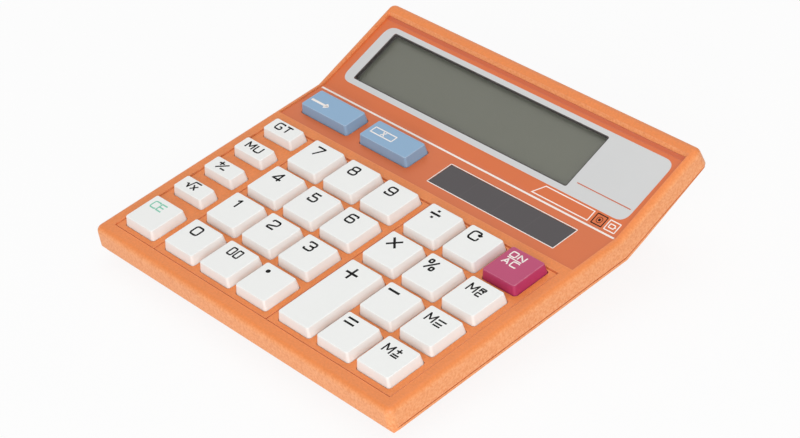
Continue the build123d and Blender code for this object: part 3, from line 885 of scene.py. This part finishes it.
@dataclass
class SwitchMat:
    """The rubber mat on the board, with domes under the key stems."""

    node: str = "dome_mat"
    foot: float = -4.8
    crown: float = -3.1
    radii: Point = (3.2, 2.4)
    sides: int = 24
    trim: float = 0.05
    weld: float = 0.001
    pressed_share: float = 0.25
    long_keys: Tuple[Tuple[str, Point], ...] = (
        ("key_plus", (0.0, 8.17)), ("key_check", (5.3, 0.0)), ("key_correct", (5.3, 0.0)),
    )

    def build(self, keys: Dict[str, Point]) -> None:
        """Build the sheet and the domes of every key.

        Args:
            keys: The centre of every key on the deck.
        """
        self.build_sheet()
        spread = dict(self.long_keys)
        for key, centre in keys.items():
            if key in spread:
                (x, v), (dx, dv) = centre, spread[key]
                self.build_domes(key, [(x - dx, v - dv), (x + dx, v + dv)])
            else:
                self.build_domes(key, [centre])

    def build_sheet(self) -> None:
        """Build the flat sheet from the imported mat, with its domes taken off."""
        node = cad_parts[self.node]
        sheet = Relief("mat_sheet", LAYOUT.on_deck, self.foot, 0.0)
        sheet.mesh.from_mesh(node.data)
        bmesh.ops.transform(sheet.mesh, matrix=node.matrix_world, verts=sheet.mesh.verts)
        bmesh.ops.remove_doubles(sheet.mesh, verts=sheet.mesh.verts, dist=self.weld * MM)
        cut = self.foot + self.trim
        tops = [vert for vert in sheet.mesh.verts if LAYOUT.height(vert.co) > cut]
        bmesh.ops.delete(sheet.mesh, geom=tops, context="VERTS")
        rims = [edge for edge in sheet.mesh.edges if edge.is_boundary]
        bmesh.ops.holes_fill(sheet.mesh, edges=rims, sides=0)
        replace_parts(sheet.finish(RUBBER_GREY, CASE), self.node)

    def build_domes(self, key: str, centres: Loop) -> None:
        """Stand one key's domes on the sheet.

        Args:
            key: The key above them.
            centres: Where they stand on the deck.
        """
        domes = Relief(f"{key}_domes", LAYOUT.on_deck, self.foot, self.crown - self.foot)
        for centre in centres:
            domes.plate(*(self.circle(centre, radius) for radius in self.radii))
        piece = domes.finish(RUBBER_GREY, CASE)
        anchor = LAYOUT.on_deck(*centres[0], self.foot)
        LAYOUT.turn((0, 0, 1))
        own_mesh(piece)

    def circle(self, centre: Point, radius: float) -> Loop:
        """Return the points of a circle around a place on the deck."""
        turns = [math.tau * i / self.sides for i in range(self.sides)]
        return [(centre[0] + radius * math.cos(a), centre[1] + radius * math.sin(a)) for a in turns]


@dataclass
class DisplayPanel:
    """The printed panel: silver field, lines, boxes, window and solar strip."""

    window_x: Point = (-57.9, 38.3)
    window_s: Point = (6.6, 27.5)
    silver_x: Point = (-62.0, 63.5)
    silver_s: Point = (4.6, 29.3)
    silver_corner: float = 4.0
    window_corner: float = 0.8
    round_steps: int = 8
    liner: float = 0.35
    liner_recess: float = 0.02
    pane_recess: float = 0.01
    panel_thickness: float = 1.0
    print_rise: float = 0.03
    line_v: float = 53.6
    line_x: Point = (-65.0, 65.0)
    line_width: float = 0.7
    solar_x: Point = SOLAR_X
    solar_v: Point = (40.0, 49.9)
    solar_outline: float = 0.3
    solar_gap: float = 0.1
    solar_corner: float = 0.2
    fine_line: float = 0.35
    strip: Tuple[Point, ...] = ((29.8, 0.1), (52.8, 0.1), (52.8, 3.8), (32.6, 3.8))
    sun_box: Tuple[Point, Point] = ((54.2, 58.2), (0.2, 3.8))
    sun_ring_share: float = 0.25
    sun_dot: float = 0.45
    sun_dot_corner: float = 0.4
    cell_box: Tuple[Point, Point] = ((59.4, 63.5), (0.2, 3.7))
    cell_body: Tuple[Point, Point] = ((0.9, -1.2), (1.1, -1.1))
    cell_corner: float = 0.2
    cell_cap: Tuple[float, Point] = (-0.9, (1.5, -1.5))
    box_corner: float = 0.1
    box_steps: int = 2
    ring_steps: int = 5
    dot_steps: int = 4
    cell_steps: int = 3
    rule_x: Point = (40.6, 62.3)
    rule_s: float = 9.4
    # Where the strip of painted shade lies along the rear and right rim.
    border_rear: Point = (30.7, 32.2)
    border_right: Point = (64.7, 65.5)
    border_foot: float = 3.0
    border_tip: float = 0.1

    def deck_print(self, name: str) -> Relief:
        """Return a print shape on the deck part of the panel."""
        return Relief(name, LAYOUT.on_deck, 0.0, self.print_rise)

    def slope_print(self, name: str) -> Relief:
        """Return a print shape on the display slope."""
        return Relief(name, LAYOUT.on_panel, 0.0, self.print_rise)

    def build(self) -> None:
        """Dress the panel's nodes and add its print, its painted shade and its window."""
        dress_node("display_panel", PANEL_ORANGE)
        dress_node("lcd_gasket", FOAM_DARK)
        dress_node("lcd_glass", LCD_GREY)
        dress_node("solar_cell", SOLAR_FILM)
        self.build_silver()
        self.build_lines()
        self.build_border()
        self.build_marks()
        self.build_window()

    def build_border(self) -> None:
        """Paint the strip of painted shade that the rim casts along the rear and right edges of the
        slope.
        """
        rim_shade = self.slope_print("painted_rim_shade")
        inner, right = self.border_right
        front, rear = self.border_rear
        # Painted shade: a darker orange strip along the rear and right rim.
        rim_shade.plate([(-right, front), (right, front), (right, rear), (-right, rear)])
        tip = (right - self.border_tip, self.border_foot)
        rim_shade.plate([tip, (right, self.border_foot), (right, front), (inner, front)])
        rim_shade.finish(ORANGE_PRINT_AND_SHADE, CASE)

    def build_marks(self) -> None:
        """Print the empty strip, the light and battery signs, and the rule on the silver field."""
        strip = self.slope_print("panel_strip")
        strip.ribbon(list(self.strip), self.fine_line, closed=True)
        strip.finish(WHITE_PRINT, CASE)
        self.build_light_sign()
        self.build_battery_sign()
        rules = Relief("silver_rules", LAYOUT.on_panel, self.print_rise, self.print_rise)
        rules.ribbon([(x, self.rule_s) for x in self.rule_x], self.fine_line)
        rules.finish(ORANGE_PRINT_AND_SHADE, CASE)

    def build_light_sign(self) -> None:
        """Print the box with a ring and a dot that stands for light."""
        sun = self.slope_print("light_sign")
        x, s = self.sun_box
        box = rounded_box(x, s, self.box_corner, self.box_steps)
        sun.ribbon(box, self.fine_line, closed=True)
        reach = (x[1] - x[0]) * self.sun_ring_share
        ring = rounded_box(*self.around(x, s, reach), reach, self.ring_steps)
        sun.ribbon(ring, self.fine_line / 2, closed=True)
        dot = self.around(x, s, self.sun_dot)
        sun.plate(rounded_box(*dot, self.sun_dot_corner, self.dot_steps))
        sun.finish(BLACK_PRINT, CASE)

    @staticmethod
    def around(x: Point, s: Point, reach: float) -> Tuple[Point, Point]:
        """Return the x and s ranges of a square about the middle of a box, by its half side."""
        across, along = sum(x) / 2, sum(s) / 2
        return grown((across, across), reach), grown((along, along), reach)

    def build_battery_sign(self) -> None:
        """Print the box with a small cell in it that stands for the battery."""
        cell = self.slope_print("battery_sign")
        x, s = self.cell_box
        box = rounded_box(x, s, self.box_corner, self.box_steps)
        cell.ribbon(box, self.fine_line, closed=True)
        inset_x, inset_s = self.cell_body
        body_x = (x[0] + inset_x[0], x[1] + inset_x[1])
        body_s = (s[0] + inset_s[0], s[1] + inset_s[1])
        body = rounded_box(body_x, body_s, self.cell_corner, self.cell_steps)
        cell.ribbon(body, self.fine_line, closed=True)
        cap_x, cap_s = self.cell_cap
        cap = [(x[1] + cap_x, edge + inset) for edge, inset in zip(s, cap_s)]
        cell.ribbon(cap, self.fine_line)
        cell.finish(WHITE_PRINT, CASE)

    def build_silver(self) -> None:
        """Print the silver field around the window."""
        silver = self.slope_print("silver_field")
        outer = rounded_box(self.silver_x, self.silver_s, self.silver_corner, self.round_steps)
        inner = rounded_box(self.window_x, self.window_s, self.window_corner, self.round_steps)
        silver.band(outer, inner, closed=True)
        silver.finish(SILVER_PRINT, CASE)

    def build_lines(self) -> None:
        """Print the white line before the bend and the outline of the solar strip."""
        line = self.deck_print("panel_line")
        line.ribbon([(x, self.line_v) for x in self.line_x], self.line_width)
        line.finish(WHITE_PRINT, CASE)
        edge = self.deck_print("solar_outline")
        reach = self.solar_outline / 2 + self.solar_gap
        x, v = grown(self.solar_x, reach), grown(self.solar_v, reach)
        outline = rounded_box(x, v, self.solar_corner, self.box_steps)
        edge.ribbon(outline, self.solar_outline, closed=True)
        edge.finish(WHITE_PRINT, CASE)

    def build_window(self) -> None:
        """Set a clear pane in the panel, with a dark liner round its edge."""
        x, s = grown(self.window_x, -self.liner), grown(self.window_s, -self.liner)
        outer = rounded_box(self.window_x, self.window_s, self.window_corner, self.round_steps)
        inner = rounded_box(x, s, self.window_corner, self.round_steps)
        depth = self.panel_thickness
        liner = Relief("window_liner", LAYOUT.on_panel, -depth, depth - self.liner_recess)
        liner.band(outer, inner, closed=True)
        liner.finish(FOAM_DARK, CASE)
        pane = Relief("window_pane", LAYOUT.on_panel, -depth, depth - self.pane_recess)
        pane.plate(inner)
        piece = pane.finish(WINDOW_CLEAR, CASE)
        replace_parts(piece, "display_window")


@dataclass
class Housing:
    """The two shells, the battery door and what they hold."""

    shells: Tuple[str, ...] = ("top_case", "bottom_case", "battery_door")
    inner: Tuple[Tuple[str, Finish], ...] = (
        ("lcd_holder", PLASTIC_BLACK), ("lcd_cable", CABLE_AMBER), ("solar_leads", WIRE_RED),
        ("battery_leads", WIRE_RED), ("main_board", BOARD_GREEN), ("chip_blob", PLASTIC_BLACK),
        ("battery_cell", CELL_GREY), ("battery_contact_plus", STEEL),
        ("battery_contact_minus", STEEL), ("case_screws", STEEL), ("board_screws", STEEL),
        ("rubber_feet", RUBBER_BLACK),
    )

    def dress(self) -> None:
        """Give every shell and inner piece its finish."""
        for name in self.shells:
            dress_node(name, CASE_ORANGE)
        for name, finish in self.inner:
            dress_node(name, finish)


@dataclass(frozen=True)
class Lamp:
    """A soft square lamp: where it hangs and its side, in metres, and its power in watts."""

    name: str
    place: Tuple[float, float, float]
    size: float
    power: float

    def build(self) -> None:
        """Hang the lamp so that it faces the object."""
        data = bpy.data.lights.new(self.name, "AREA")
        data.size = self.size
        data.energy = self.power
        lamp = bpy.data.objects.new(self.name, data)
        bpy.context.scene.collection.objects.link(lamp)
        lamp.location = self.place
        lamp.rotation_euler = (-Vector(self.place)).to_track_quat("-Z", "Y").to_euler()


@dataclass
class Studio:
    """Floor, soft light and the camera at the photograph's angle.

    The camera's eye, in millimetres, and its right and down directions are given along the deck.
    """

    focal_px: float = 2452.5
    image_width: float = 800.0
    sensor: float = 36.0
    eye: Tuple[float, float, float] = (477.7, -319.73, 444.46)
    right: Tuple[float, float, float] = (0.6693, 0.72785, -0.14924)
    down: Tuple[float, float, float] = (0.37228, -0.50235, -0.78042)
    floor_size: float = 6.0
    floor_level: float = -0.00005
    floor_colour: Colour = (0.9, 0.9, 0.9)
    floor_lift: float = 0.88
    floor_rough: float = 0.9
    sky: float = 0.5
    view_reach: float = 10.0
    lamps: Tuple[Lamp, ...] = (
        Lamp("key_lamp", (0.98, -0.98, 0.58), 1.0, 13.6),
        Lamp("top_lamp", (-0.2, 0.3, 1.3), 1.2, 4.6),
    )

    def build(self) -> None:
        """Build the whole stage."""
        self.build_floor()
        self.build_world()
        for lamp in self.lamps:
            lamp.build()
        self.build_camera()
        bpy.context.scene.view_settings.view_transform = "Standard"
        log.info("stage in place")

    def build_floor(self) -> None:
        """Lay the pale floor, which shows the camera part of its own white and keeps the shadow."""
        half, level = self.floor_size / 2, self.floor_level
        mesh = bpy.data.meshes.new("floor")
        corners = [(-half, -half), (half, -half), (half, half), (-half, half)]
        mesh.from_pydata([(*corner, level) for corner in corners], [], [(0, 1, 2, 3)])
        floor = bpy.data.objects.new("floor", mesh)
        bpy.context.scene.collection.objects.link(floor)
        material = bpy.data.materials.new("floor_white")
        material.use_nodes = True
        tree = material.node_tree
        link = tree.links.new
        shader = tree.nodes["Principled BSDF"]
        shader.inputs["Base Color"].default_value = (*self.floor_colour, 1)
        shader.inputs["Roughness"].default_value = self.floor_rough
        glow = add_node(tree, "Emission")
        share = add_node(tree, "Math", {1: self.floor_lift}, operation="MULTIPLY")
        mixer = add_node(tree, "MixShader")
        link(self.seen_share(tree), share.inputs[0])
        link(share.outputs["Value"], mixer.inputs["Fac"])
        link(shader.outputs["BSDF"], mixer.inputs[1])
        link(glow.outputs["Emission"], mixer.inputs[2])
        link(mixer.outputs["Shader"], tree.nodes["Material Output"].inputs["Surface"])
        mesh.materials.append(material)

    @staticmethod
    def seen_share(tree: Tree) -> Socket:
        """Tell rays that show the background, straight, mirrored or through glass, from light.

        Args:
            tree: The node tree of the floor or the sky.

        Returns:
            A value socket, 1 for such rays.
        """
        path = add_node(tree, "LightPath")
        shown = path.outputs["Is Camera Ray"]
        for ray in ("Is Glossy Ray", "Is Transmission Ray"):
            either = add_node(tree, "Math", operation="MAXIMUM")
            tree.links.new(shown, either.inputs[0])
            tree.links.new(path.outputs[ray], either.inputs[1])
            shown = either.outputs["Value"]
        return shown

    def build_world(self) -> None:
        """Set an even pale sky that lights from all sides and shows white behind the floor."""
        world = bpy.data.worlds.new("studio_sky")
        bpy.context.scene.world = world
        world.use_nodes = True
        tree = world.node_tree
        sky = tree.nodes["Background"]
        sky.inputs["Color"].default_value = (1, 1, 1, 1)
        level = add_range(tree, target=(self.sky, 1.0))
        tree.links.new(self.seen_share(tree), level.inputs["Value"])
        tree.links.new(level.outputs["Result"], sky.inputs["Strength"])

    def build_camera(self) -> None:
        """Place the camera as the photograph was taken."""
        data = bpy.data.cameras.new("camera")
        data.sensor_fit = "HORIZONTAL"
        data.sensor_width = self.sensor
        data.lens = self.focal_px * self.sensor / self.image_width
        data.clip_end = self.view_reach
        camera = bpy.data.objects.new("camera", data)
        bpy.context.scene.collection.objects.link(camera)
        side = LAYOUT.turn(self.right).normalized()
        up = -LAYOUT.turn(self.down)
        back = side.cross(up).normalized()
        up = back.cross(side)
        place = LAYOUT.on_deck(*self.eye)
        turn = Matrix((side, up, back)).transposed().to_4x4()
        camera.matrix_world = Matrix.Translation(place) @ turn
        bpy.context.scene.camera = camera


def main() -> None:
    """Build every sub-assembly in order."""
    logging.basicConfig(level=logging.INFO, format="%(message)s")
    Studio().build()
    Housing().dress()
    DisplayPanel().build()
    keypad = Keypad()
    keypad.dress()
    SwitchMat().build(keypad.places())


if __name__ == "__main__":
    main()
